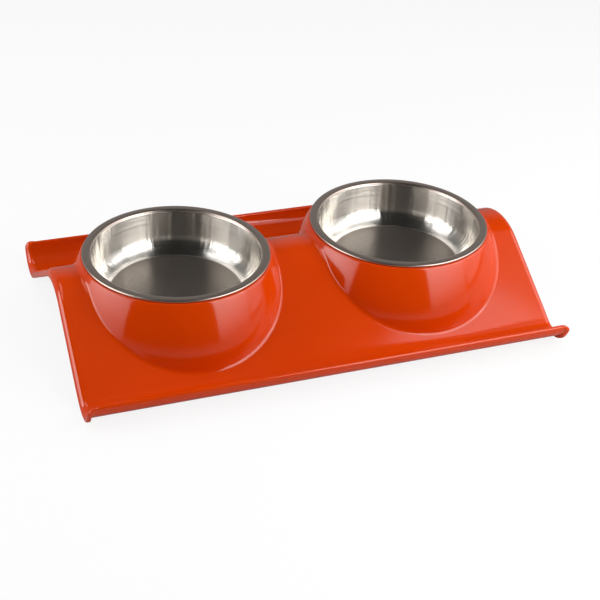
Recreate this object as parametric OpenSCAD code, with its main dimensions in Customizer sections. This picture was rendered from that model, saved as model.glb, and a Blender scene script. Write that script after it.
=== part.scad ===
// Double pet bowl: two drop-in steel bowls in a wave-shaped moulded tray.
// X runs along the tray, +Y to its rear and +Z up. The origin is on the floor,
// under the middle of the tray.

/* [Tray] */
// Thickness of the moulded sheet
sheet_t = 3.2; // [2.5:0.1:4]
// Drop from the bowls' rims to the top of the crest
crest_drop = 5.7; // [4:0.1:8]
// Radius of the crest, on the top surface
crest_r = 44; // [36:0.5:50]
// Distance from a dome's foot to the bottom of a trough, with the dome in the
// middle of the wave
trough_margin = 8.5; // [7:0.1:12]
// Distance from a dome's foot to the end of the tray
end_margin = 6.8; // [5:0.1:20]
// Radius of the troughs, on the top surface
trough_r = 15; // [12:0.5:18]
// Height of the sheet's underside above the floor, at the troughs
trough_lift = 3.6; // [3.2:0.1:5]
// Angle that a trough turns through, from its bottom to the end of its lip
lip_angle = 75; // [55:1:85]

/* [End skirts] */
// Depth of the skirt that closes each end, from the top surface
skirt_depth = 5.6; // [4.5:0.1:6.2]
// Thickness of the skirt
skirt_t = 3; // [2:0.1:4]
// Radius of the edge between the top surface and the skirt
edge_r = 2.8; // [1:0.1:3.2]
// Radius of the lips' corners, seen from the front
corner_r = 5; // [2:0.5:7]

/* [Domes] */
// Gap between the feet of the two domes
dome_gap = 5.6; // [4:0.1:14]
// Distance of the bowls behind the middle of the wave
bowl_back = 2.5; // [0:0.1:3]
// Height of the bowls' rims above the floor
rim_height = 57.5; // [56:0.1:60]
// How far the bowl's rim stands out over the top of the dome
rim_overhang = 0.4; // [0:0.1:0.8]
// Growth of the dome's radius from its top to its foot
dome_flare = 16.6; // [12:0.1:20]
// Drop from the rim to the foot of the dome
dome_drop = 45; // [40:0.5:48]
// Radius of the dome's bulging side
dome_side_r = 140; // [100:1:200]
// Thickness of the flat ring that the bowl sits on
seat_t = 2.6; // [2:0.1:3.5]

/* [Bowls] */
// Diameter over the bowl's rolled rim
bowl_d = 130; // [110:1:160]
// Width of the flat rim, from the line where the wall would meet it
rim_w = 6.2; // [5:0.1:8]
// Inner depth of the bowl
bowl_depth = 31.5; // [24:0.5:36]
// Thickness of the steel
steel_t = 0.8; // [0.5:0.1:1]
// Taper of the wall, from the vertical
wall_taper = 3; // [0:0.5:6]
// Inside radius between the bowl's wall and its floor
fillet_r = 12.5; // [6:0.5:16]
// Radius of the bend from the wall to the rim, on the underside
bend_r = 0.6; // [0.3:0.1:0.8]
// Radius of the rim's rolled edge
bead_r = 0.8; // [0.6:0.05:0.9]

/* [Feet] */
// Diameter of a rubber foot's pad
foot_d = 10; // [8:0.5:12]
// Thickness of the pad
pad_t = 2; // [1.8:0.1:2.4]
// Radius of the pad's lower edge
pad_edge_r = 0.6; // [0.2:0.1:1]
// Diameter of the stem that holds the foot in its boss
stem_d = 5; // [4:0.1:6]
// Length of the stem
stem_l = 4.2; // [3:0.1:4.5]
// Diameter of the boss under the tray
boss_d = 11; // [9:0.5:13]
// Distance from the end of the tray to a foot's axis
foot_inset_x = 24; // [20:0.5:40]
// Distance from the bottom of a trough to a foot's axis
foot_inset_y = 12.2; // [11:0.1:18]

/* [Clearances] */
// Gap between the rim's underside and its seat
seat_gap = 0.05; // [0.02:0.01:0.2]
// Gap between the bowl's wall and the hole in the dome
hole_gap = 0.8; // [0.4:0.1:1.2]
// Gap between the rolled edge and the rebate round the seat
bead_gap = 0.25; // [0.2:0.05:0.5]
// Gap round a foot's stem, and between its pad and the boss
stem_gap = 0.05; // [0.02:0.01:0.1]
// Room past the end of a foot's stem
stem_end_gap = 0.6; // [0.3:0.1:1]

/* [Hidden] */
$fn = 120;
tray_orange = "orangered";
bowl_steel = "silver";
foot_rubber = "dimgray";
// How far a cut runs past what it cuts
overrun = 1;
// Hair by which a piece that ends in a wider one is thinner and goes deeper
seam_lap = 0.01;

mouth_r = bowl_d / 2 - rim_w;
dome_top_r = bowl_d / 2 - rim_overhang;
dome_foot_r = dome_top_r + dome_flare;
// Distance between the axes of the two bowls
bowl_spacing = 2 * dome_foot_r + dome_gap;
// Distance between the bottoms of the front and the rear trough
trough_spacing = 2 * (dome_foot_r + trough_margin);
half_length = bowl_spacing / 2 + dome_foot_r + end_margin;
tray_length = 2 * half_length;
crest_height = rim_height - crest_drop;

// Centres of the crest's and the rear trough's arcs, as Y and Z
crest_centre = [0, crest_height - crest_r];
trough_centre = [trough_spacing / 2, trough_lift + sheet_t + trough_r];
centres_step = trough_centre - crest_centre;
// Slope and length of the straight stretch that is tangent to both arcs
slope = asin((crest_r + trough_r) / norm(centres_step)) - atan2(centres_step[1], centres_step[0]);
slope_length = sqrt(pow(norm(centres_step), 2) - pow(crest_r + trough_r, 2));
straight_up = 180;

half_sheet = sheet_t / 2;
// Top of a lip, without its rounding
lip_top = trough_centre[1] - (trough_r + half_sheet) * cos(lip_angle) + half_sheet;
lip_corner = [half_length - corner_r, lip_top - corner_r];

// Heights of the seat and of the rebate that clears the rolled edge
seat_z = rim_height - steel_t - seat_gap;
rebate_z = rim_height - 2 * bead_r - bead_gap;
bead_centre = [bowl_d / 2 - bead_r, rim_height - bead_r];
rebate_r = bead_centre[0] - bead_r - bead_gap;
hole_r = mouth_r + steel_t + hole_gap;
// Centre of the dome's side, from two points that the side passes through
side_top = [dome_top_r, rim_height];
side_foot = [dome_foot_r, rim_height - dome_drop];
side_chord = side_foot - side_top;
side_sag = sqrt(pow(dome_side_r, 2) - pow(norm(side_chord) / 2, 2));
side_normal = [side_chord[1], -side_chord[0]] / norm(side_chord);
side_centre = (side_top + side_foot) / 2 + side_sag * side_normal;

// Turn from the floor to the wall, and the directions out of the wall and down
// along it, in the bowl's section
wall_turn = 90 - wall_taper;
wall_out = [cos(wall_taper), -sin(wall_taper)];
wall_down = [-sin(wall_taper), -cos(wall_taper)];
mouth_point = [mouth_r, rim_height];
// Where the wall's inner line is, for a centre that touches it
function beside_wall(height, off) =
    mouth_point + off * wall_out
    + wall_down * (rim_height + off * wall_out[1] - height) / cos(wall_taper);
floor_z = rim_height - bowl_depth;
fillet_centre = beside_wall(floor_z + fillet_r, -fillet_r);
bend_centre = beside_wall(rim_height - steel_t - bend_r, bend_r + steel_t);

// Bottom of a boss and top of the stem's hole in it
boss_z = pad_t + stem_gap;
bore_top = pad_t + stem_l + stem_end_gap;

// A point at a radius from a centre, at an angle from straight down
function from_below(centre, radius, angle) = centre + radius * [sin(angle), -cos(angle)];

// The sheet's own section, cut along the tray: a plate with a round edge and a
// short skirt at each end, all drawn in by a hair's width. The first axis is
// the depth under the top surface
module sheet_profile(inset) {
    translate([inset, edge_r - half_length])
        square([sheet_t - 2 * inset, tray_length - 2 * edge_r]);
    for (end = [0, 1])
        mirror([0, end]) {
            translate([edge_r, half_length - edge_r])
                intersection() {
                    circle(r = edge_r - inset);
                    translate([-edge_r, 0])
                        square(edge_r);
                }
            translate([edge_r, half_length - skirt_t + inset])
                square([skirt_depth - edge_r - inset, skirt_t - 2 * inset]);
        }
}

// Turns the axes so that the first runs out from a centre at an angle from
// straight down, the second follows the turn and the third lies along X
module at_turn(centre, angle) {
    translate([0, centre[0], centre[1]])
        rotate([0, 90, 0])
            rotate([0, 0, angle])
                children();
}

// The wave: the profile turned over the crest, drawn down both slopes and
// turned up through both troughs
module wave() {
    at_turn(crest_centre, straight_up - slope)
        rotate_extrude(angle = 2 * slope)
            translate([crest_r, 0])
                mirror([1, 0])
                    sheet_profile(0);
    for (side = [0, 1])
        mirror([0, side, 0])
            at_turn(trough_centre, -slope) {
                translate([0, seam_lap, 0])
                    rotate([90, 0, 0])
                        linear_extrude(height = slope_length + 2 * seam_lap)
                            translate([trough_r, 0])
                                sheet_profile(seam_lap);
                rotate_extrude(angle = slope + lip_angle)
                    translate([trough_r, 0])
                        sheet_profile(0);
            }
}

// The rounded ends of the two lips
module lip_ends() {
    for (side = [0, 1])
        mirror([0, side, 0])
            at_turn(trough_centre, lip_angle)
                translate([trough_r + half_sheet, 0, edge_r + seam_lap - half_length])
                    cylinder(r = half_sheet - seam_lap, h = tray_length - 2 * (edge_r + seam_lap));
}

// What is cut from the lips' outer corners, seen from the front
module corner_cut() {
    for (end = [0, 1], side = [0, 1])
        mirror([end, 0, 0])
            mirror([0, side, 0])
                translate([lip_corner[0], trough_centre[0], lip_corner[1]])
                    difference() {
                        cube([corner_r + overrun, trough_r + skirt_depth + overrun, corner_r + overrun]);
                        rotate([-90, 0, 0])
                            cylinder(r = corner_r, h = trough_r + skirt_depth + overrun);
                    }
}

// Everything below the middle of the sheet, from trough to trough
module below_sheet() {
    rotate([90, 0, 90])
        translate([0, 0, -half_length])
            linear_extrude(height = tray_length) {
                translate(crest_centre)
                    circle(r = crest_r - half_sheet);
                for (side = [0, 1])
                    mirror([side, 0])
                        difference() {
                            polygon([
                                [0, -overrun],
                                crest_centre,
                                from_below(crest_centre, crest_r - half_sheet, straight_up - slope),
                                from_below(trough_centre, trough_r + half_sheet, -slope),
                                trough_centre,
                                [trough_centre[0], -overrun]
                            ]);
                            translate(trough_centre)
                                circle(r = trough_r + half_sheet);
                        }
            }
}

// Half the dome's section, some depth under its side and up to a height
module dome_area(depth, top) {
    intersection() {
        translate(side_centre)
            circle(r = dome_side_r - depth);
        square([dome_side_r, top]);
    }
}

// Puts the bowl's or the dome's shape on the left or the right axis
module at_bowl(side) {
    translate([side * bowl_spacing / 2, bowl_back, 0])
        children();
}

// The outside of a dome, with the seat and the rebate round it
module dome_body() {
    rotate_extrude() {
        dome_area(0, rebate_z);
        square([rebate_r, seat_z]);
    }
}

// The room inside a dome, and the hole that the bowl drops through
module dome_room() {
    rotate_extrude() {
        dome_area(sheet_t, seat_z - seat_t);
        square([hole_r, seat_z + overrun]);
    }
}

// Puts a shape at one foot: side -1 is left, end -1 is front
module at_foot(side, end) {
    translate([side * (half_length - foot_inset_x), end * (trough_spacing / 2 - foot_inset_y), 0])
        children();
}

module tray() {
    color(tray_orange)
        difference() {
            union() {
                wave();
                lip_ends();
                difference() {
                    for (side = [-1, 1])
                        at_bowl(side) dome_body();
                    below_sheet();
                }
                intersection() {
                    for (side = [-1, 1], end = [-1, 1])
                        at_foot(side, end)
                            translate([0, 0, boss_z])
                                cylinder(d = boss_d, h = crest_height);
                    below_sheet();
                }
            }
            for (side = [-1, 1])
                at_bowl(side) dome_room();
            for (side = [-1, 1], end = [-1, 1])
                at_foot(side, end)
                    cylinder(r = stem_d / 2 + stem_gap, h = bore_top);
            corner_cut();
        }
}

// A band between two radii round a centre, over a turn from an angle that is
// counted from straight down
module arc_band(centre, inner, outer, start, turn) {
    intersection() {
        translate(centre)
            difference() {
                circle(r = outer);
                circle(r = inner);
            }
        polygon([
            centre,
            from_below(centre, 2 * outer, start),
            from_below(centre, 2 * outer, start + turn / 2),
            from_below(centre, 2 * outer, start + turn)
        ]);
    }
}

// Half the bowl's section, as a strip of steel: floor, fillet, wall, bend, flat
// rim and rolled edge
module bowl_section() {
    translate([0, floor_z - steel_t])
        square([fillet_centre[0], steel_t]);
    arc_band(fillet_centre, fillet_r, fillet_r + steel_t, 0, wall_turn);
    polygon([
        fillet_centre + fillet_r * wall_out,
        fillet_centre + (fillet_r + steel_t) * wall_out,
        bend_centre - bend_r * wall_out,
        bend_centre - (bend_r + steel_t) * wall_out
    ]);
    arc_band(bend_centre, bend_r, bend_r + steel_t, straight_up, wall_turn);
    translate([bend_centre[0], rim_height - steel_t])
        square([bead_centre[0] - bend_centre[0], steel_t]);
    translate(bead_centre)
        circle(r = bead_r);
}

module bowl() {
    color(bowl_steel)
        rotate_extrude()
            bowl_section();
}

module bowl_left() {
    at_bowl(-1) bowl();
}

module bowl_right() {
    at_bowl(1) bowl();
}

module foot() {
    color(foot_rubber)
        rotate_extrude() {
            square([foot_d / 2 - pad_edge_r, pad_t]);
            translate([0, pad_edge_r])
                square([foot_d / 2, pad_t - pad_edge_r]);
            translate([foot_d / 2 - pad_edge_r, pad_edge_r])
                circle(r = pad_edge_r);
            square([stem_d / 2, pad_t + stem_l]);
        }
}

module foot_front_left() {
    at_foot(-1, -1) foot();
}

module foot_front_right() {
    at_foot(1, -1) foot();
}

module foot_rear_left() {
    at_foot(-1, 1) foot();
}

module foot_rear_right() {
    at_foot(1, 1) foot();
}

tray();
bowl_left();
bowl_right();
foot_front_left();
foot_front_right();
foot_rear_left();
foot_rear_right();
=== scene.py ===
# %% [markdown]
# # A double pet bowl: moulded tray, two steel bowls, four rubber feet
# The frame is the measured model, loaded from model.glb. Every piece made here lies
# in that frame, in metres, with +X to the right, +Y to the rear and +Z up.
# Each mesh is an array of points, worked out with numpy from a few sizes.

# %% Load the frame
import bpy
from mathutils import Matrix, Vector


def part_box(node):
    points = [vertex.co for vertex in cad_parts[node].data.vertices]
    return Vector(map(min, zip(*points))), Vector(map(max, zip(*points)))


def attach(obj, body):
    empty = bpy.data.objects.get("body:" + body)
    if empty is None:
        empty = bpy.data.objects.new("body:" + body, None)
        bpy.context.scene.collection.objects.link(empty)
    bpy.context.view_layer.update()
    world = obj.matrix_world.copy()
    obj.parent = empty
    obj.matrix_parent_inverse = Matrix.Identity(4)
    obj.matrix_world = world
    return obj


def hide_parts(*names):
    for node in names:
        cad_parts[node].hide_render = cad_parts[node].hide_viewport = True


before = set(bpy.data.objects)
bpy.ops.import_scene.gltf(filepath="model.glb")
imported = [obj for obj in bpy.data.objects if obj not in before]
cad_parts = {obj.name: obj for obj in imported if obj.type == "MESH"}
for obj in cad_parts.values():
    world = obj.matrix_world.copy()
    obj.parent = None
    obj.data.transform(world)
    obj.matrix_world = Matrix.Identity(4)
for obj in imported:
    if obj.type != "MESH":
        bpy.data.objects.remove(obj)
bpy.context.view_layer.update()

import bmesh
import bpy
import numpy as np
from mathutils import Matrix

MM = 0.001
print("nodes:", sorted(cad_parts))

# %% [markdown]
# ## Sizes
# What the frame knows is read from it: how long the tray is, where the bowls
# hang and how high their rims are. The rest are the sizes of the mould, which
# are written here once.

# %% Sizes
tray_low, tray_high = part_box("tray")
bowl_low, bowl_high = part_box("bowl_right")
foot_low, foot_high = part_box("foot_rear_right")
half_length = tray_high[0]
axis_x = (bowl_low[0] + bowl_high[0]) / 2
axis_y = (bowl_low[1] + bowl_high[1]) / 2
rim_z = bowl_high[2]
rim_r = (bowl_high[0] - bowl_low[0]) / 2
foot_x = (foot_low[0] + foot_high[0]) / 2
foot_y = (foot_low[1] + foot_high[1]) / 2

sheet_t = 3.2 * MM
crest_r = 44 * MM
trough_r = 15 * MM
crest_drop = 5.7 * MM
trough_y = 89.7 * MM
trough_lift = 3.6 * MM
lip_turn = np.radians(75)

side_r = 140 * MM
dome_inset = 0.4 * MM
dome_flare = 16.2 * MM
dome_drop = 45 * MM
crease_r = 4 * MM
dome_top = np.array([rim_r - dome_inset, rim_z])
dome_foot = np.array([rim_r + dome_flare, rim_z - dome_drop])
print(f"tray {2 * half_length / MM:.0f} mm long, rims {rim_z / MM:.1f} mm high")
print(f"bowls {2 * rim_r / MM:.0f} mm wide")

# %% [markdown]
# ## Helpers for meshes
# A surface is a grid of points, rows by columns. Two neighbouring rows and two
# neighbouring columns bound one quad. Grids that share an edge have the same
# points there, so merging the doubles closes the shell, and on a closed shell
# Blender can turn every face outwards by itself.

# %% Grids to meshes
UV_NAME = "grid"
MERGE_DIST = 0.001 * MM


def grid_quads(rows, columns, closed):
    """Corner numbers of the quads of a grid; a closed grid joins its last column to its first."""
    steps = columns if closed else columns - 1
    row, column = np.meshgrid(np.arange(rows - 1), np.arange(steps), indexing="ij")
    after = (column + 1) % columns
    this_row, next_row = row * columns, (row + 1) * columns
    corners = (this_row + column, this_row + after, next_row + after, next_row + column)
    return np.stack(corners, axis=-1).reshape(-1, 4)


def grid_map(rows, columns, closed, walked):
    """UV of every corner of a grid's quads: the share of the way round, and the distance walked by its row."""
    steps = columns if closed else columns - 1
    row, column = np.meshgrid(np.arange(rows - 1), np.arange(steps), indexing="ij")
    u = np.stack([column, column + 1, column + 1, column], axis=-1) / steps
    v = np.stack([walked[row], walked[row], walked[row + 1], walked[row + 1]], axis=-1)
    return np.stack([u, v], axis=-1).reshape(-1, 2)


def shell(name, grids, material, smooth_deg=40):
    """One closed mesh from several (points, closed) grids, merged where their edges meet. Edges that bend by
    less than smooth_deg are shaded smooth."""
    counts = np.cumsum([0] + [points.shape[0] * points.shape[1] for points, _ in grids])
    places = [points.reshape(-1, 3) for points, _ in grids]
    quads = [grid_quads(*points.shape[:2], closed) + start for (points, closed), start in zip(grids, counts)]
    mesh = bpy.data.meshes.new(name)
    mesh.from_pydata(np.concatenate(places), [], np.concatenate(quads))
    corners = []
    for points, closed in grids:
        stride = np.linalg.norm(np.diff(points[:, 0], axis=0), axis=-1)
        corners.append(grid_map(*points.shape[:2], closed, np.concatenate([[0], np.cumsum(stride)])))
    mesh.uv_layers.new(name=UV_NAME).data.foreach_set("uv", np.concatenate(corners).ravel())
    net = bmesh.new()
    net.from_mesh(mesh)
    bmesh.ops.remove_doubles(net, verts=net.verts, dist=MERGE_DIST)
    bmesh.ops.dissolve_degenerate(net, edges=net.edges, dist=MERGE_DIST)
    bmesh.ops.recalc_face_normals(net, faces=net.faces)
    open_edges = sum(not edge.is_manifold for edge in net.edges)
    net.to_mesh(mesh)
    net.free()
    mesh.materials.append(material)
    piece = bpy.data.objects.new(name, mesh)
    bpy.context.scene.collection.objects.link(piece)
    mesh.shade_smooth()
    mesh.set_sharp_from_angle(angle=np.radians(smooth_deg))
    print(f"{name}: {len(mesh.polygons)} faces, {open_edges} open edges")
    return piece


def arc(centre, radius, start_deg, end_deg, count):
    """Points of an arc in a section, counted by angle from the section's first axis."""
    angle = np.radians(np.linspace(start_deg, end_deg, count))
    return np.asarray(centre) + radius * np.stack([np.cos(angle), np.sin(angle)], axis=-1)


def rounded(start, corner, end, count):
    """A corner rounded by a parabola: it leaves start and reaches end along the corner's two sides."""
    t = np.linspace(0, 1, count)[:, None]
    return (1 - t) ** 2 * np.asarray(start) + 2 * t * (1 - t) * np.asarray(corner) + t**2 * np.asarray(end)


# %% [markdown]
# ## Helpers for materials
# Colours are written as sRGB hex values, as a paint chart gives them, and one
# function turns them to the linear values that a renderer counts in. Another
# adds a node with its settings and its links, and every material is built
# from it.

# %% Colours and nodes
def linear(hex_colour):
    """Linear RGBA of an sRGB hex colour: each channel is undone from the sRGB curve, which is a line near black
    and a power of 2.4 above."""
    channels = np.array([int(hex_colour[i : i + 2], 16) for i in (1, 3, 5)]) / 255
    curve = np.where(channels <= 0.04045, channels / 12.92, ((channels + 0.055) / 1.055) ** 2.4)
    return (*curve, 1.0)


def add(tree, kind, settings=(), **inputs):
    """Adds one node; a value is set on its socket, and another node's socket is linked to it."""
    node = tree.nodes.new(kind)
    for key, value in dict(settings).items():
        setattr(node, key, value)
    for key, value in inputs.items():
        socket = node.inputs[int(key[1:])] if key[1:].isdigit() else node.inputs[key.replace("_", " ")]
        if isinstance(value, bpy.types.NodeSocket):
            tree.links.new(value, socket)
        else:
            socket.default_value = value
    return node


def new_material(name):
    """An empty material and its node tree."""
    material = bpy.data.materials.new(name)
    material.use_nodes = True
    material.node_tree.nodes.clear()
    return material, material.node_tree


def finish_material(tree, surface):
    """Links a shader to the material's output."""
    add(tree, "ShaderNodeOutputMaterial", Surface=surface.outputs[0])


# %% [markdown]
# ## The tray's material: glossy melamine
# Such trays are pressed from melamine resin in a polished steel mould. The skin
# copies the mould, so it is smooth and glossy, with a faint waviness like the
# peel of an orange that only shows in the reflections' edges, and handling
# leaves it a little less glossy here and there. The pigment goes right through,
# and its shade drifts slightly over the piece.

# %% Melamine
PER_METRE = 1000
PEEL_MM = 2.5
PEEL_DEPTH = 0.05 * MM
PEEL_STRENGTH = 0.08
DRIFT_MM = 60
HANDLING_MM = 25
MELAMINE_IOR = 1.5
MELAMINE_ROUGHNESS = (0.08, 0.13)
ORANGES = (linear("#CB3900"), linear("#D23F02"))


def pressed_melamine():
    """High-gloss orange melamine: IOR 1.5, low roughness, orange peel as a very low bump."""
    material, tree = new_material("melamine_pressed_gloss_orange")
    place = add(tree, "ShaderNodeTexCoord").outputs["Object"]
    drift = add(tree, "ShaderNodeTexNoise", Vector=place, Scale=PER_METRE / DRIFT_MM, Detail=2.0)
    shade = add(
        tree, "ShaderNodeMix", {"data_type": "RGBA"}, _0=drift.outputs["Fac"], _6=ORANGES[0], _7=ORANGES[1]
    )
    peel = add(tree, "ShaderNodeTexNoise", Vector=place, Scale=PER_METRE / PEEL_MM, Detail=1.0)
    waviness = add(
        tree, "ShaderNodeBump", Strength=PEEL_STRENGTH, Distance=PEEL_DEPTH, Height=peel.outputs["Fac"]
    )
    handling = add(tree, "ShaderNodeTexNoise", Vector=place, Scale=PER_METRE / HANDLING_MM, Detail=4.0)
    roughness = add(
        tree, "ShaderNodeMapRange", Value=handling.outputs["Fac"],
        To_Min=MELAMINE_ROUGHNESS[0], To_Max=MELAMINE_ROUGHNESS[1],
    )
    shader = add(
        tree, "ShaderNodeBsdfPrincipled", Base_Color=shade.outputs[2], Roughness=roughness.outputs[0],
        IOR=MELAMINE_IOR, Normal=waviness.outputs[0],
    )
    finish_material(tree, shader)
    return material


melamine = pressed_melamine()
print("material:", melamine.name)

# %% [markdown]
# ## The wave
# The tray is one sheet, bent like a wave: a crest along the middle, a straight
# slope to either side, and a trough that turns up into a lip. Its section is
# two arcs and the line that touches both. Walking along the section from the
# crest gives each point one number, its distance, so the sheet can be laid
# out flat, with X one way and the distance the other.

# %% The wave's section
crest_z = rim_z - crest_drop - crest_r
trough_z = trough_lift + sheet_t + trough_r
centres = np.array([trough_y, trough_z - crest_z])
reach = np.hypot(*centres)
slope = np.arcsin((crest_r + trough_r) / reach) - np.arctan2(centres[1], centres[0])
slope_length = np.sqrt(reach**2 - (crest_r + trough_r) ** 2)
crest_end = crest_r * slope
trough_start = crest_end + slope_length
lip_end = trough_start + trough_r * (slope + lip_turn)


def wave(distance, lift=0.0):
    """Y and Z of the sheet's section, and its normal, at a distance from the crest, raised along the normal: an
    arc over the crest, a straight slope, and an arc that turns the other way, through the trough and up the
    lip."""
    side = np.where(np.asarray(distance) < 0, -1.0, 1.0)
    walked = np.abs(distance)
    turn = np.minimum(walked, crest_end) / crest_r
    straight = np.clip(walked - crest_end, 0, slope_length)
    tilt = slope - (walked - trough_start) / trough_r
    in_trough = walked > trough_start
    y = (crest_r + lift) * np.sin(turn) + straight * np.cos(slope)
    z = crest_z + (crest_r + lift) * np.cos(turn) - straight * np.sin(slope)
    y = np.where(in_trough, trough_y - (trough_r - lift) * np.sin(tilt), y)
    z = np.where(in_trough, trough_z - (trough_r - lift) * np.cos(tilt), z)
    tilt = np.where(in_trough, tilt, turn)
    return side * y, z, side * np.sin(tilt), np.cos(tilt)


print(f"slope {np.degrees(slope):.1f} degrees, {slope_length / MM:.1f} mm long")
print(f"half section {lip_end / MM:.1f} mm")

# %% [markdown]
# ## The tray's outline
# The right half is laid out flat: it runs from the middle to the end, and from
# one lip to the other, with round corners. The outline is walked in steps: the
# front lip, a corner, the end, a corner, the rear lip, and back along the
# middle, where the mirrored left half will join. The ends have a little draft,
# so the tray is shorter at its crest than at its troughs.

# %% The outline of the right half
edge_r = 4.8 * MM
corner_r = 3 * MM
draft = 0.026
draft_from = 14 * MM
end_x = half_length - edge_r
lip_step = 3.6 * MM
end_step = 2.4 * MM
middle_step = 2.6 * MM
bend_count = 12


def walk(start, end, step):
    """Points from start up to, but not with, end, about one step apart."""
    start, end = np.asarray(start), np.asarray(end)
    count = int(np.ceil(np.hypot(*(end - start)) / step))
    return start + (end - start) * (np.arange(count) / count)[:, None]


def half_outline():
    """Points of the outline as X and distance, its outward direction, the share by which each point belongs to
    the end, and the points along the middle."""
    front = walk((0, -lip_end), (end_x - corner_r, -lip_end), lip_step)
    bend = arc((end_x - corner_r, corner_r - lip_end), corner_r, -90, 0, bend_count)[:-1]
    end = walk((end_x, corner_r - lip_end), (end_x, lip_end - corner_r), end_step)
    outline = np.concatenate([front, bend, end])
    share = np.concatenate([0 * front[:, 0], np.linspace(0, 1, len(bend)), 1 + 0 * end[:, 0]])
    bend_angle = np.radians(np.linspace(0, 90, bend_count)[:-1])
    angle = np.concatenate([0 * front[:, 0], bend_angle, np.pi / 2 + 0 * end[:, 0]])
    outward = np.stack([np.sin(angle), -np.cos(angle)], axis=-1)
    flip = np.array([1, -1])
    first_half = len(front) + len(bend)
    rear = slice(first_half - 1, None, -1)
    outline = np.concatenate([outline, [(end_x, lip_end - corner_r)], outline[rear] * flip])
    outward = np.concatenate([outward, [(1, 0)], outward[rear] * flip])
    share = np.concatenate([share, [1], share[rear]])
    middle = walk((0, lip_end), (0, -lip_end), middle_step)[1:]
    return outline, outward, share, middle


outline, outward, end_share, middle = half_outline()
rim_count = len(outline)
border = np.concatenate([outline, middle])
_, border_z, _, _ = wave(border[:, 1])
border[:, 0] *= 1 - draft * np.maximum(border_z - draft_from, 0) / end_x
border_y = wave(border[:, 1])[0]
around = np.arctan2(border_y - axis_y, border[:, 0] - axis_x)
print(f"outline of the half: {len(border)} points, {rim_count} of them on its free edge")

# %% [markdown]
# ## Where a dome grows out of the sheet
# A dome's side is an arc turned about the bowl's axis. The mould has no sharp
# crease where it meets the sheet, but a fillet, as a ball of 4 mm would press it
# into the corner. The ball's middle is 4 mm from both surfaces, so it is where
# the raised side crosses the raised sheet. Halving an interval forty times
# finds that place for every direction at once.

# %% The fillet's centre line
HALVINGS = 40
chord = dome_foot - dome_top
sagitta = np.sqrt(side_r**2 - (np.hypot(*chord) / 2) ** 2)
across_chord = np.array([chord[1], -chord[0]]) / np.hypot(*chord)
side_centre = (dome_top + dome_foot) / 2 + sagitta * across_chord


def side_radius(z, lift=0.0):
    """Distance of the dome's side from the bowl's axis at a height, raised along its normal."""
    return side_centre[0] + np.sqrt((side_r + lift) ** 2 - (z - side_centre[1]) ** 2)


def side_point(turn, lift=0.0):
    """Radius and height of the dome's side where its normal points up by some angle."""
    return side_centre[0] + (side_r + lift) * np.cos(turn), side_centre[1] + (side_r + lift) * np.sin(turn)


low = np.full(len(around), -lip_end)
high = np.full(len(around), lip_end)
for _ in range(HALVINGS):
    ball = (low + high) / 2
    ball_y, ball_z, _, _ = wave(ball, crease_r)
    beyond = ball_y - axis_y > side_radius(ball_z, crease_r) * np.sin(around)
    low = np.where(beyond, low, ball)
    high = np.where(beyond, ball, high)
ball_y, ball_z, sheet_ny, sheet_nz = wave(ball, crease_r)
ball_r = side_radius(ball_z, crease_r)
ball_x = axis_x + ball_r * np.cos(around)
ball_turn = np.arcsin((ball_z - side_centre[1]) / (side_r + crease_r))
print(f"the ball's middle runs from {ball_z.min() / MM:.1f} to {ball_z.max() / MM:.1f} mm high")

# %% [markdown]
# ## The tray's outer skin
# Every direction round the bowl is one column of the grid. It starts at the
# hole, crosses the seat, steps down beside it, rolls over the shoulder, runs
# down the dome's side, through the fillet and out over the sheet to the outline.

# %% Outer skin of the right half
seat_drop = 0.85 * MM
seat_t = 2.6 * MM
hole_inset = 4.6 * MM
rebate_drop = 1.85 * MM
rebate_inset = 1.85 * MM
small_r = 0.4 * MM
shoulder_r = 1.0 * MM
seat_z = rim_z - seat_drop
seat_under_z = seat_z - seat_t
rebate_z = rim_z - rebate_drop
hole_r = rim_r - hole_inset
rebate_r = rim_r - rebate_inset

small_count = 5
shoulder_count = 7
side_count = 22
fillet_count = 9
ray_count = 25
ray_rows = np.linspace(0, 1, ray_count)[1:, None]


def turned(section):
    """A section of radius and height, the same in every direction round the right bowl's axis."""
    radius, height = np.asarray(section).T
    x = axis_x + radius[:, None] * np.cos(around)
    y = axis_y + radius[:, None] * np.sin(around)
    return np.stack([x, y, height[:, None] + 0 * x], axis=-1)


def side_rows(first, last, count, lift=0.0):
    """Rows down the dome's side, from one angle of its normal to another that differs by column."""
    turn = first + (last - first) * np.linspace(0, 1, count)[:, None]
    radius, height = side_point(turn, lift)
    x = axis_x + radius * np.cos(around)
    return np.stack([x, axis_y + radius * np.sin(around), height], axis=-1)


def fillet_rows(radius, count):
    """Rows through the fillet: seen from the ball's middle, the direction turns evenly from the side's normal
    to the sheet's."""
    outwards = np.cos(ball_turn)
    side_normal = np.stack([outwards * np.cos(around), outwards * np.sin(around), np.sin(ball_turn)], axis=-1)
    sheet_normal = np.stack([0 * around, sheet_ny, sheet_nz], axis=-1)
    angle = np.arccos(np.sum(side_normal * sheet_normal, axis=-1))[None, :, None]
    t = np.linspace(0, 1, count)[1:, None, None]
    direction = (np.sin((1 - t) * angle) * side_normal + np.sin(t * angle) * sheet_normal) / np.sin(angle)
    return np.stack([ball_x, ball_y, ball_z], axis=-1) - radius * direction


def sheet_rows(rim, lift=0.0):
    """Rows from the fillet to the outline, on straight lines of the sheet laid out flat."""
    flat_x = ball_x + (rim[:, 0] - ball_x) * ray_rows
    flat_s = ball + (rim[:, 1] - ball) * ray_rows
    y, z, _, _ = wave(flat_s, lift)
    return np.stack([flat_x, y, z], axis=-1)


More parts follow.
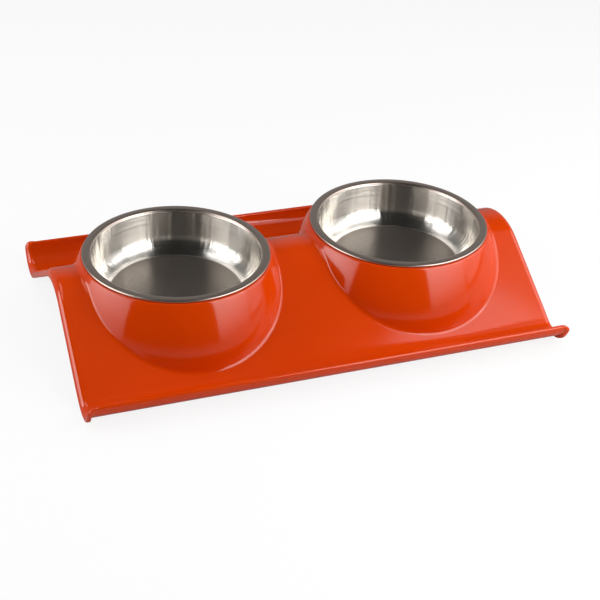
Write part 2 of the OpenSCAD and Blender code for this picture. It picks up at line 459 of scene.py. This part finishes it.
shoulder = np.array([side_radius(rebate_z), rebate_z])
shoulder_turn = np.arcsin((rebate_z - shoulder_r - side_centre[1]) / side_r)
seat_section = np.concatenate([
    [(hole_r, seat_under_z + small_r)],
    arc((hole_r + small_r, seat_z - small_r), small_r, 180, 90, small_count),
    arc((rebate_r - small_r, seat_z - small_r), small_r, 90, 0, small_count),
    [(rebate_r, rebate_z)],
    rounded(shoulder - (shoulder_r, 0), shoulder, side_point(shoulder_turn), shoulder_count)[:-1],
])
outer_skin = np.concatenate([
    turned(seat_section),
    side_rows(shoulder_turn, ball_turn, side_count),
    fillet_rows(crease_r, fillet_count),
    sheet_rows(border),
])
print("outer skin:", outer_skin.shape[0], "rows by", outer_skin.shape[1], "columns")

# %% [markdown]
# ## The tray's inner skin
# The wall is 3.2 mm thick everywhere, as a mould with two halves gives it. The
# same formulas give the underside when every surface is raised by less: the
# sheet's arcs change their radius by the wall, and so do the side and the
# fillet. A skirt hangs under the tray's ends, so there the underside stops at
# the skirt's root. The skirt gets shallower over its last 9 mm before a lip's
# corner, to about a third, and ends in that corner.

# %% Inner skin of the right half
skirt_t = 3 * MM
skirt_depth = 5.8 * MM
skirt_fade = 9 * MM
corner_share = 0.35
root_r = 0.5 * MM
root_out = edge_r - skirt_t - root_r


def eased(share):
    """A share of 0 to 1 that starts and ends gently: three times its square less twice its cube."""
    return share**2 * (3 - 2 * share)


turned_out = eased(end_share)
to_corner = np.clip((lip_end - corner_r - np.abs(outline[:, 1])) / skirt_fade, 0, 1)
skirt_share = turned_out * (corner_share + (1 - corner_share) * eased(to_corner))
inner_border = border.copy()
inner_border[:rim_count] += outward * (root_out * skirt_share)[:, None]

ceiling_r = side_centre[0] + np.sqrt((side_r - sheet_t) ** 2 - (seat_under_z - side_centre[1]) ** 2)
ceiling_turn = np.arcsin((seat_under_z - shoulder_r - side_centre[1]) / (side_r - sheet_t))
ceiling = np.array([ceiling_r, seat_under_z])
under_section = np.concatenate([
    arc((hole_r + small_r, seat_under_z + small_r), small_r, 180, 270, small_count),
    rounded(ceiling - (shoulder_r, 0), ceiling, side_point(ceiling_turn, -sheet_t), shoulder_count)[:-1],
])
inner_skin = np.concatenate([
    turned(under_section),
    side_rows(ceiling_turn, ball_turn, side_count, -sheet_t),
    fillet_rows(crease_r + sheet_t, fillet_count),
    sheet_rows(inner_border, -sheet_t),
])
print("inner skin:", inner_skin.shape[0], "rows by", inner_skin.shape[1], "columns")

# %% [markdown]
# ## The tray's edge
# A profile is carried along the free edge. At the tray's ends it is a round
# edge with a short skirt below, and along the lips it is the round end of the
# sheet itself. Between the two it passes through a third, the blunt end that the
# sheet has without a skirt, so that the lip's corner stays full. The strip's
# last row is the underside's own border, so that the shell closes.

# %% The edge
skirt_edge_r = 0.7 * MM
tip_r = sheet_t / 2
edge_count = 9


def edge_profile():
    """Points of three profiles, out and under the top surface: the skirt's, the lip's and the blunt one's."""
    down = np.array([1, -1])
    outer_x, inner_x = edge_r - skirt_edge_r, edge_r - skirt_t + skirt_edge_r
    low = skirt_edge_r - skirt_depth
    skirt = np.concatenate([
        arc((0, -edge_r), edge_r, 90, 0, edge_count),
        arc((outer_x, low), skirt_edge_r, 0, -90, small_count),
        arc((inner_x, low), skirt_edge_r, -90, -180, small_count),
        arc((root_out, -sheet_t - root_r), root_r, 0, 90, small_count),
    ])
    lip = arc((0, -tip_r), tip_r, 90, -90, len(skirt))
    blunt = np.concatenate([
        arc((0, -1), 1, 90, 0, edge_count) * (edge_r, sheet_t - skirt_edge_r),
        arc((outer_x, skirt_edge_r - sheet_t), skirt_edge_r, 0, -90, small_count),
        np.linspace((outer_x, -sheet_t), (0, -sheet_t), 2 * small_count + 1)[1:],
    ])
    return skirt * down, lip * down, blunt * down


def edge_strip():
    """The profile's points beside each point of the outline, out along the sheet and down along its normal."""
    skirt, lip, blunt = edge_profile()
    tip = lip[:, None] + (blunt - lip)[:, None] * turned_out[:, None]
    profile = tip + (skirt[:, None] - tip) * skirt_share[:, None]
    y, z, ny, nz = wave(outline[:, 1])
    out, depth = profile[..., 0], profile[..., 1]
    x = border[:rim_count, 0] + out * outward[:, 0]
    along = out * outward[:, 1]
    return np.stack([x, y + along * nz - depth * ny, z - along * ny - depth * nz], axis=-1)


edge = edge_strip()
edge[-1] = inner_skin[-1, :rim_count]


def mirrored(points):
    """The same grid on the other side of the tray's middle."""
    return points * np.array([-1, 1, 1])


halves = [(outer_skin, True), (inner_skin, True), (edge, False)]
tray = shell("tray_moulding", halves + [(mirrored(points), closed) for points, closed in halves], melamine)
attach(tray, "tray")
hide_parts("tray")

# %% [markdown]
# ## Turned pieces
# Bowls, bosses and feet are round, so each is a section turned about an axis.
# A section that starts and ends on the axis closes at two poles; a ring's
# section comes back to its own start.

# %% Turn a section
def turn_section(name, section, centre, material, segments, height=None):
    """Turns a section of radius and height about a centre; height may change the points by where they stand."""
    radius, z = np.asarray(section).T
    angle = np.arange(segments) * 2 * np.pi / segments
    x = centre[0] + radius[:, None] * np.cos(angle)
    y = centre[1] + radius[:, None] * np.sin(angle)
    z = z[:, None] + 0 * x
    if height is not None:
        z = height(x, y, z)
    return shell(name, [(np.stack([x, y, z], axis=-1), True)], material)


# %% [markdown]
# ## The bosses
# Four short tubes are moulded under the tray to take the feet. A tube starts
# just over the foot's pad and ends inside the sheet's wall, which slopes there:
# the section's top is drawn well above the bore and then moved into the wall.

# %% Bosses
boss_r = 5.5 * MM
boss_z = 2.05 * MM
bore_r = 2.55 * MM
bore_top = 6.8 * MM
boss_top = 2 * bore_top
boss_segments = 64
boss_round = 4
wall_samples = 400


def into_sheet(x, y, z):
    """Points above the bore end in the middle of the sheet's wall, over their own place."""
    walked = np.linspace(crest_end, lip_end, wall_samples)
    wall_y, wall_z, _, _ = wave(walked, -sheet_t / 2)
    return np.where(z >= boss_top, np.interp(np.abs(y), wall_y, wall_z), z)


boss_section = np.concatenate([
    [(0, bore_top), (bore_r, bore_top), (bore_r, boss_z + small_r)],
    arc((bore_r + small_r, boss_z + small_r), small_r, 180, 270, boss_round),
    arc((boss_r - small_r, boss_z + small_r), small_r, 270, 360, boss_round),
    [(boss_r, boss_top), (0, boss_top)],
])
for depth, y in (("front", -foot_y), ("rear", foot_y)):
    for side, x in (("left", -foot_x), ("right", foot_x)):
        name = f"foot_boss_{depth}_{side}"
        boss = turn_section(name, boss_section, (x, y), melamine, boss_segments, into_sheet)
        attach(boss, "tray")

# %% [markdown]
# ## The bowls' material: spun stainless steel
# The bowls are pressed from sheet steel and polished while they turn, so fine
# rings run round them. On the wall the rings spread a reflection across them,
# which draws the lights out into upright bands, and slight waves break the bands
# up. The floor is duller than the wall, and so is the flat rim. The floor's
# colour is darker than the wall's, which is painted shade, and the rim's is darker
# and warmer, which is painted shade and a painted warm reflection. Real rings are
# finer than a pixel, so they are drawn about 2.2 mm apart.

# %% Steel
RING_MM = 2.2
STREAKS = 16
PATTERN_RANGE = (0.6, 1.4)
WALL_ROUGHNESS = (0.2, 0.27)
FLOOR_ROUGHNESS = (0.46, 0.54)
RIM_ROUGHNESS = 0.3
SPUN_LOW, SPUN_WALL = 0.2, 1.0
QUARTER_TURN = 0.25
WAVE_STRENGTH = 0.5
WAVE_DEPTH = 1.0 * MM
# Painted shade: the floor's and the rim's steel colours are darker than the wall's, and the rim's warm tint is
# a painted reflection.
FLOOR_STEEL_PAINTED_SHADE, WALL_STEEL, RIM_STEEL_PAINTED_SHADE_AND_REFLECTION = linear("#8C847C"), linear("#ECE8E2"), linear("#CDBDB2")
bowl_depth = 31.5 * MM
floor_z = rim_z - bowl_depth
wall_from, wall_full = floor_z + 0.02 * MM, floor_z + 0.2 * MM
wavy_from, wavy_full = floor_z + 1 * MM, floor_z + 6 * MM
rim_from, rim_full = rim_z - 1.9 * MM, rim_z - 1.5 * MM


def spun_steel():
    """Satin stainless steel: metal, with its roughness split by direction and rings that follow the turning."""
    material, tree = new_material("stainless_steel_spun_satin")
    place = add(tree, "ShaderNodeTexCoord").outputs["Object"]
    height = add(tree, "ShaderNodeSeparateXYZ", Vector=place).outputs["Z"]
    grid = add(tree, "ShaderNodeUVMap", {"uv_map": UV_NAME}).outputs[0]
    round_way, walked = add(tree, "ShaderNodeSeparateXYZ", Vector=grid).outputs[:2]
    turn = add(tree, "ShaderNodeMath", {"operation": "MULTIPLY"}, _0=round_way, _1=2 * np.pi).outputs[0]
    east = add(tree, "ShaderNodeMath", {"operation": "COSINE"}, _0=turn).outputs[0]
    north = add(tree, "ShaderNodeMath", {"operation": "SINE"}, _0=turn).outputs[0]
    ray = add(tree, "ShaderNodeCombineXYZ", X=east, Y=north, Z=walked).outputs[0]
    rings = add(
        tree, "ShaderNodeTexNoise", {"noise_dimensions": "1D"}, W=walked, Scale=PER_METRE / RING_MM, Detail=1.0
    )
    streaks = add(tree, "ShaderNodeTexNoise", Vector=ray, Scale=STREAKS / 2, Detail=2.0)
    uneven = add(
        tree, "ShaderNodeMath", {"operation": "ADD"}, _0=rings.outputs["Fac"], _1=streaks.outputs["Fac"]
    )
    on_wall = add(
        tree, "ShaderNodeMapRange", Value=uneven.outputs[0],
        From_Min=PATTERN_RANGE[0], From_Max=PATTERN_RANGE[1],
        To_Min=WALL_ROUGHNESS[0], To_Max=WALL_ROUGHNESS[1],
    )
    on_floor = add(
        tree, "ShaderNodeMapRange", Value=uneven.outputs[0],
        From_Min=PATTERN_RANGE[0], From_Max=PATTERN_RANGE[1],
        To_Min=FLOOR_ROUGHNESS[0], To_Max=FLOOR_ROUGHNESS[1],
    )
    above_floor = add(tree, "ShaderNodeMapRange", Value=height, From_Min=wall_from, From_Max=wall_full)
    up_wall = add(tree, "ShaderNodeMapRange", Value=height, From_Min=wavy_from, From_Max=wavy_full)
    on_rim = add(tree, "ShaderNodeMapRange", Value=height, From_Min=rim_from, From_Max=rim_full)
    inside = add(
        tree, "ShaderNodeMix", _0=above_floor.outputs[0], _2=on_floor.outputs[0], _3=on_wall.outputs[0]
    )
    roughness = add(tree, "ShaderNodeMix", _0=on_rim.outputs[0], _2=inside.outputs[0], _3=RIM_ROUGHNESS)
    below_rim = add(
        tree, "ShaderNodeMath", {"operation": "SUBTRACT"}, _0=above_floor.outputs[0], _1=on_rim.outputs[0]
    )
    wavy = add(tree, "ShaderNodeMath", {"operation": "SUBTRACT"}, _0=up_wall.outputs[0], _1=on_rim.outputs[0])
    wall_only = add(
        tree, "ShaderNodeMath", {"operation": "MULTIPLY"}, _0=streaks.outputs["Fac"], _1=wavy.outputs[0]
    )
    waves = add(
        tree, "ShaderNodeBump", Strength=WAVE_STRENGTH, Distance=WAVE_DEPTH, Height=wall_only.outputs[0]
    )
    spun = add(tree, "ShaderNodeMapRange", Value=below_rim.outputs[0], To_Min=SPUN_LOW, To_Max=SPUN_WALL)
    # Painted shade: the floor gets a darker steel colour than the wall, and the rim a darker, warmer one, which
    # is painted shade and a painted reflection.
    inner_tone_with_painted_shade = add(
        tree, "ShaderNodeMix", {"data_type": "RGBA"}, _0=above_floor.outputs[0], _6=FLOOR_STEEL_PAINTED_SHADE, _7=WALL_STEEL
    )
    tone = add(
        tree, "ShaderNodeMix", {"data_type": "RGBA"},
        _0=on_rim.outputs[0], _6=inner_tone_with_painted_shade.outputs[2], _7=RIM_STEEL_PAINTED_SHADE_AND_REFLECTION,
    )
    tangent = add(tree, "ShaderNodeTangent", {"direction_type": "UV_MAP", "uv_map": UV_NAME})
    shader = add(
        tree,
        "ShaderNodeBsdfPrincipled",
        Base_Color=tone.outputs[2],
        Metallic=1.0,
        Roughness=roughness.outputs[0],
        Anisotropic=spun.outputs[0],
        Anisotropic_Rotation=QUARTER_TURN,
        Tangent=tangent.outputs[0],
        Normal=waves.outputs[0],
    )
    finish_material(tree, shader)
    return material


steel = spun_steel()
print("material:", steel.name)

# %% [markdown]
# ## The bowls
# A bowl is one strip of steel in section: the floor, a wide fillet, a wall that
# leans out by three degrees, the flat rim and its rolled edge. The outside is
# the inside moved out by the steel's thickness.

# %% Bowls
steel_t = 0.8 * MM
mouth_inset = 6.2 * MM
mouth_r = rim_r - mouth_inset
taper = np.radians(3)
fillet_r = 12.5 * MM
bend_r = 0.6 * MM
bead_r = 0.8 * MM

bowl_segments = 256
floor_rows = 28
curve_rows = 18
wall_rows = 14
outer_wall_rows = 10
bend_rows = 8
under_rows = 5


def beside_wall(height, off):
    """Radius of the place at a height whose distance from the wall's inner line is off, outwards."""
    return mouth_r + off / np.cos(taper) - (rim_z - height) * np.tan(taper)


def bowl_section():
    """The strip's outline from the middle of the floor, up inside, over the rim and down outside."""
    lean = np.degrees(taper)
    bend_z = rim_z - steel_t - bend_r
    fillet = np.array([beside_wall(floor_z + fillet_r, -fillet_r), floor_z + fillet_r])
    bend = np.array([beside_wall(bend_z, bend_r + steel_t), bend_z])
    bead = np.array([rim_r - bead_r, rim_z - bead_r])
    across = np.linspace(0, 1, floor_rows)[:, None]
    floor = np.array([0, floor_z]) + across * np.array([fillet[0], 0])
    up_inside = arc(fillet, fillet_r, -90, -lean, curve_rows)
    over_rim = arc(bend, bend_r + steel_t, 180 - lean, 90, bend_rows)
    up_wall = np.linspace(0, 1, wall_rows)[1:-1, None]
    wall = up_inside[-1] + up_wall * (over_rim[0] - up_inside[-1])
    roll = arc(bead, bead_r, 90, -180, curve_rows)
    roll_end = [(bead[0] - bead_r, rim_z - steel_t)]
    under_rim = arc(bend, bend_r, 90, 180 - lean, under_rows)
    down_outside = arc(fillet, fillet_r + steel_t, -lean, -90, curve_rows)
    down_wall = np.linspace(0, 1, outer_wall_rows)[1:-1, None]
    outer_wall = under_rim[-1] + down_wall * (down_outside[0] - under_rim[-1])
    outer_floor = floor[::-1] - (0, steel_t)
    inside = [floor[:-1], up_inside, wall, over_rim, roll]
    outside = [roll_end, under_rim, outer_wall, down_outside, outer_floor[1:]]
    return np.concatenate(inside + outside)


for body, x in (("bowl_left", -axis_x), ("bowl_right", axis_x)):
    bowl = turn_section(f"{body}_spun", bowl_section(), (x, axis_y), steel, bowl_segments)
    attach(bowl, body)
    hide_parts(body)

# %% [markdown]
# ## The feet
# Rubber feet are moulded too, but from a blasted mould, so they are matt. They
# keep their measured shape.

# %% Rubber
GRAIN_MM = 0.6
GRAIN_DEPTH = 0.05 * MM
GRAIN_STRENGTH = 0.3
RUBBER_ROUGHNESS = 0.75
BLACKS = (linear("#161616"), linear("#242322"))


def moulded_rubber():
    """Matt black rubber: dark, rough, with a fine grain."""
    material, tree = new_material("rubber_moulded_matt_black")
    place = add(tree, "ShaderNodeTexCoord").outputs["Object"]
    grain = add(tree, "ShaderNodeTexNoise", Vector=place, Scale=PER_METRE / GRAIN_MM, Detail=2.0)
    relief = add(
        tree, "ShaderNodeBump", Strength=GRAIN_STRENGTH, Distance=GRAIN_DEPTH, Height=grain.outputs["Fac"]
    )
    tone = add(
        tree, "ShaderNodeMix", {"data_type": "RGBA"}, _0=grain.outputs["Fac"], _6=BLACKS[0], _7=BLACKS[1]
    )
    shader = add(
        tree, "ShaderNodeBsdfPrincipled", Base_Color=tone.outputs[2], Roughness=RUBBER_ROUGHNESS,
        Normal=relief.outputs[0],
    )
    finish_material(tree, shader)
    return material


rubber = moulded_rubber()
for name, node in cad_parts.items():
    if name.startswith("foot_"):
        node.data.materials.clear()
        node.data.materials.append(rubber)
        print(name, "is rubber")

# %% [markdown]
# ## The floor
# The object stands on a wide white surface. To the camera, most of its light is
# its own, so that it looks as white as the studio's paper, and the rest is
# what the lamps give it, so that a soft shadow stays. Glossy plastic and steel
# mirror a duller paper, which brings their colours closer to the photograph's.

# %% Floor
OWN_STRENGTH = 1.02
OWN_SHARE = 0.85
MIRRORED_SHARE = 0.12
PAPER, MIRRORED_PAPER = linear("#E8E8E8"), linear("#8C8C8C")
WHITE = (1, 1, 1, 1)


def paper_floor():
    """White paper: to the camera it is mostly bright by itself, and in reflections it is mostly lit grey."""
    material, tree = new_material("studio_paper_white")
    path = add(tree, "ShaderNodeLightPath").outputs
    mirrored = add(
        tree, "ShaderNodeMath", {"operation": "MAXIMUM"},
        _0=path["Is Glossy Ray"], _1=path["Is Transmission Ray"],
    ).outputs[0]
    weaker = add(tree, "ShaderNodeMath", {"operation": "MULTIPLY"}, _0=mirrored, _1=MIRRORED_SHARE)
    seen = add(tree, "ShaderNodeMath", {"operation": "MAXIMUM"}, _0=path["Is Camera Ray"], _1=weaker.outputs[0])
    paper = add(tree, "ShaderNodeMix", {"data_type": "RGBA"}, _0=mirrored, _6=PAPER, _7=MIRRORED_PAPER)
    lit = add(tree, "ShaderNodeBsdfDiffuse", Color=paper.outputs[2])
    own = add(tree, "ShaderNodeEmission", Color=WHITE, Strength=OWN_STRENGTH)
    both = add(tree, "ShaderNodeMixShader", _0=OWN_SHARE, _1=lit.outputs[0], _2=own.outputs[0])
    surface = add(tree, "ShaderNodeMixShader", _0=seen.outputs[0], _1=lit.outputs[0], _2=both.outputs[0])
    finish_material(tree, surface)
    return material


floor_half = 6.0
floor_corners = floor_half * np.array([[[-1, -1, 0], [1, -1, 0]], [[-1, 1, 0], [1, 1, 0]]])
floor_mesh = bpy.data.meshes.new("floor")
floor_mesh.from_pydata(floor_corners.reshape(-1, 3), [], [(0, 1, 3, 2)])
floor_mesh.materials.append(paper_floor())
floor = bpy.data.objects.new("floor", floor_mesh)
bpy.context.scene.collection.objects.link(floor)
print(f"floor {2 * floor_half:.0f} m wide")

# %% [markdown]
# ## Lights
# Softboxes stand left and right of the object and hang over it. Their places
# come from the photograph: the edge of a reflection on a dome gives a
# direction, and the same edge on the other dome crosses it. Their levels were
# fitted to the photograph's colours. A real softbox is brighter near its lamp,
# so its level may change towards its lower edge and towards one side. The wide
# fill above lights everything a little and doesn't show in reflections.

# %% Lights
FADE_FROM = 0.1
MIDDLE = 0.5


def softbox(name, centre, facing, width, height, level, foot=1.0, full_from=1.0, end=1.0):
    """An upright area light of a given radiance that looks along facing. At its lower edge the radiance is
    multiplied by foot, from the share full_from of its height on by 1, and at one side's edge by end."""
    light = bpy.data.lights.new(name, "AREA")
    light.shape = "RECTANGLE"
    light.size, light.size_y = width, height
    light.energy = level * width * height * np.pi
    light.use_nodes = True
    tree = light.node_tree
    place = add(tree, "ShaderNodeNewGeometry").outputs["Parametric"]
    across, upwards = add(tree, "ShaderNodeSeparateXYZ", Vector=place).outputs[:2]
    rise = add(
        tree, "ShaderNodeMapRange", Value=upwards,
        From_Min=FADE_FROM, From_Max=full_from, To_Min=foot, To_Max=1.0,
    )
    fade = add(tree, "ShaderNodeMapRange", Value=across, From_Min=MIDDLE, To_Min=1.0, To_Max=end)
    share = add(tree, "ShaderNodeMath", {"operation": "MULTIPLY"}, _0=rise.outputs[0], _1=fade.outputs[0])
    tree.links.new(share.outputs[0], tree.nodes["Emission"].inputs["Strength"])
    lamp = bpy.data.objects.new(name, light)
    back = -np.array(facing, float)
    back /= np.linalg.norm(back)
    right = np.cross((0, 0, 1), back)
    right /= np.linalg.norm(right)
    axes = np.eye(4)
    axes[:3, 0], axes[:3, 1], axes[:3, 2], axes[:3, 3] = right, np.cross(back, right), back, centre
    lamp.matrix_world = Matrix(axes)
    bpy.context.scene.collection.objects.link(lamp)
    print(f"{name}: {width:.2f} by {height:.2f} m, level {level}")
    return lamp


softbox(
    "softbox_left", centre=(-1.01, 0.075, 0.37), facing=(1, 0, -0.1),
    width=0.99, height=0.74, level=4.6, foot=0.4, full_from=0.45, end=0.45,
)
softbox(
    "softbox_right", centre=(0.493, -0.564, 0.28), facing=(-0.470, 0.814, -0.342),
    width=0.6, height=0.8, level=5.4, foot=0.0, full_from=0.75, end=0.8,
)
softbox(
    "softbox_side", centre=(0.78, -0.14, 0.36), facing=(-0.83, 0.14, -0.3),
    width=0.62, height=0.68, level=2.8, foot=0.35, full_from=0.8,
)
softbox(
    "softbox_over_right", centre=(0.60, -0.12, 0.76), facing=(-0.435, 0.1, -0.779),
    width=0.45, height=0.34, level=0.27, foot=2.8,
)
softbox(
    "softbox_right_top", centre=(0.4, -0.36, 0.74), facing=(-0.406, 0.406, -0.819),
    width=0.45, height=0.26, level=1.7,
)
softbox(
    "softbox_over_left", centre=(-0.402, 0.281, 0.755), facing=(0.402, -0.281, -0.755),
    width=0.52, height=0.3, level=1.7,
)
fill = softbox("fill_above", centre=(0, 0.1, 1.6), facing=(0, 0.001, -1), width=1.2, height=1.2, level=1.5)
fill.visible_glossy = False

# %% [markdown]
# ## The studio round it
# Behind the object a grey backdrop stands up to about 24 degrees and has almost
# faded out at 44, a dim wall stands on the right, and the rest is dark.
# Glossy plastic and steel only look real when they have such a dark room to
# mirror. The camera itself sees a pale room. A level is given for the upward
# part of a direction, which is the sine of its elevation.

# %% Studio
BEHIND_FULL = 0.35
BACKDROP_TOP, BACKDROP_MIDDLE, BACKDROP_END = (0.40, 0.3), (0.5, 0.24), (0.7, 0.03)
SIDE_FROM, SIDE_FULL = 0.6, 0.95
DARK_LEVEL, SIDE_LEVEL = 0.01, 0.1
CAMERA_LEVEL = 0.9


def grey(level):
    """An opaque grey of a linear level."""
    return (level, level, level, 1)


def studio():
    """World light by direction: a low backdrop behind, dim elsewhere; the camera sees it pale all round."""
    world = bpy.data.worlds.new("studio")
    world.use_nodes = True
    tree = world.node_tree
    tree.nodes.clear()
    way = add(tree, "ShaderNodeTexCoord").outputs["Generated"]
    rightward, rearward, upward = add(tree, "ShaderNodeSeparateXYZ", Vector=way).outputs
    soft = {"interpolation_type": "SMOOTHSTEP"}
    behind = add(tree, "ShaderNodeMapRange", soft, Value=rearward, From_Min=0.0, From_Max=BEHIND_FULL)
    fade = add(tree, "ShaderNodeValToRGB", Fac=upward)
    stops = fade.color_ramp.elements
    stops[0].position, stops[0].color = BACKDROP_TOP[0], grey(BACKDROP_TOP[1])
    stops[1].position, stops[1].color = BACKDROP_END[0], grey(BACKDROP_END[1])
    stops.new(BACKDROP_MIDDLE[0]).color = grey(BACKDROP_MIDDLE[1])
    backdrop = add(
        tree, "ShaderNodeMath", {"operation": "MULTIPLY"}, _0=behind.outputs[0], _1=fade.outputs["Color"]
    )
    side_wall = add(
        tree, "ShaderNodeMapRange", soft, Value=rightward, From_Min=SIDE_FROM, From_Max=SIDE_FULL,
        To_Min=DARK_LEVEL, To_Max=SIDE_LEVEL,
    )
    level = add(tree, "ShaderNodeMath", {"operation": "ADD"}, _0=backdrop.outputs[0], _1=side_wall.outputs[0])
    path = add(tree, "ShaderNodeLightPath").outputs
    shown = add(tree, "ShaderNodeMix", _0=path["Is Camera Ray"], _2=level.outputs[0], _3=CAMERA_LEVEL)
    background = add(tree, "ShaderNodeBackground", Color=WHITE, Strength=shown.outputs[0])
    add(tree, "ShaderNodeOutputWorld", Surface=background.outputs[0])
    return world


bpy.context.scene.world = studio()
print("world:", bpy.context.scene.world.name)

# %% [markdown]
# ## The camera
# The view was found by laying the rims' ellipses, the creases and the tray's
# edges over the photograph and letting the camera move until they matched.

# %% Camera
azimuth = np.radians(22.357)
elevation = np.radians(32.51)
roll = np.radians(3.607)
distance = 912.19 * MM
image_px = 600
focal_px = 1282.74
sensor_mm = 36
aim_right = 6.579 * MM
aim_up = -46.443 * MM

level_right = np.array([np.cos(azimuth), -np.sin(azimuth), 0])
level_up = np.array([
    np.sin(azimuth) * np.sin(elevation), np.cos(azimuth) * np.sin(elevation), np.cos(elevation)
])
forward = np.cross(level_up, level_right)
right = np.cos(roll) * level_right + np.sin(roll) * level_up
up = np.cross(right, forward)
aim = np.array([0, axis_y, rim_z]) + aim_right * right + aim_up * up

camera_data = bpy.data.cameras.new("camera")
camera_data.sensor_width = sensor_mm
camera_data.lens = focal_px * sensor_mm / image_px
camera = bpy.data.objects.new("camera", camera_data)
pose = np.eye(4)
pose[:3, 0], pose[:3, 1], pose[:3, 2], pose[:3, 3] = right, up, -forward, aim - distance * forward
camera.matrix_world = Matrix(pose)
bpy.context.scene.collection.objects.link(camera)
bpy.context.scene.camera = camera
bpy.context.scene.view_settings.view_transform = "Standard"
print("camera at", np.round(pose[:3, 3] / MM, 1), "mm")

# %% Finish
bpy.context.view_layer.update()
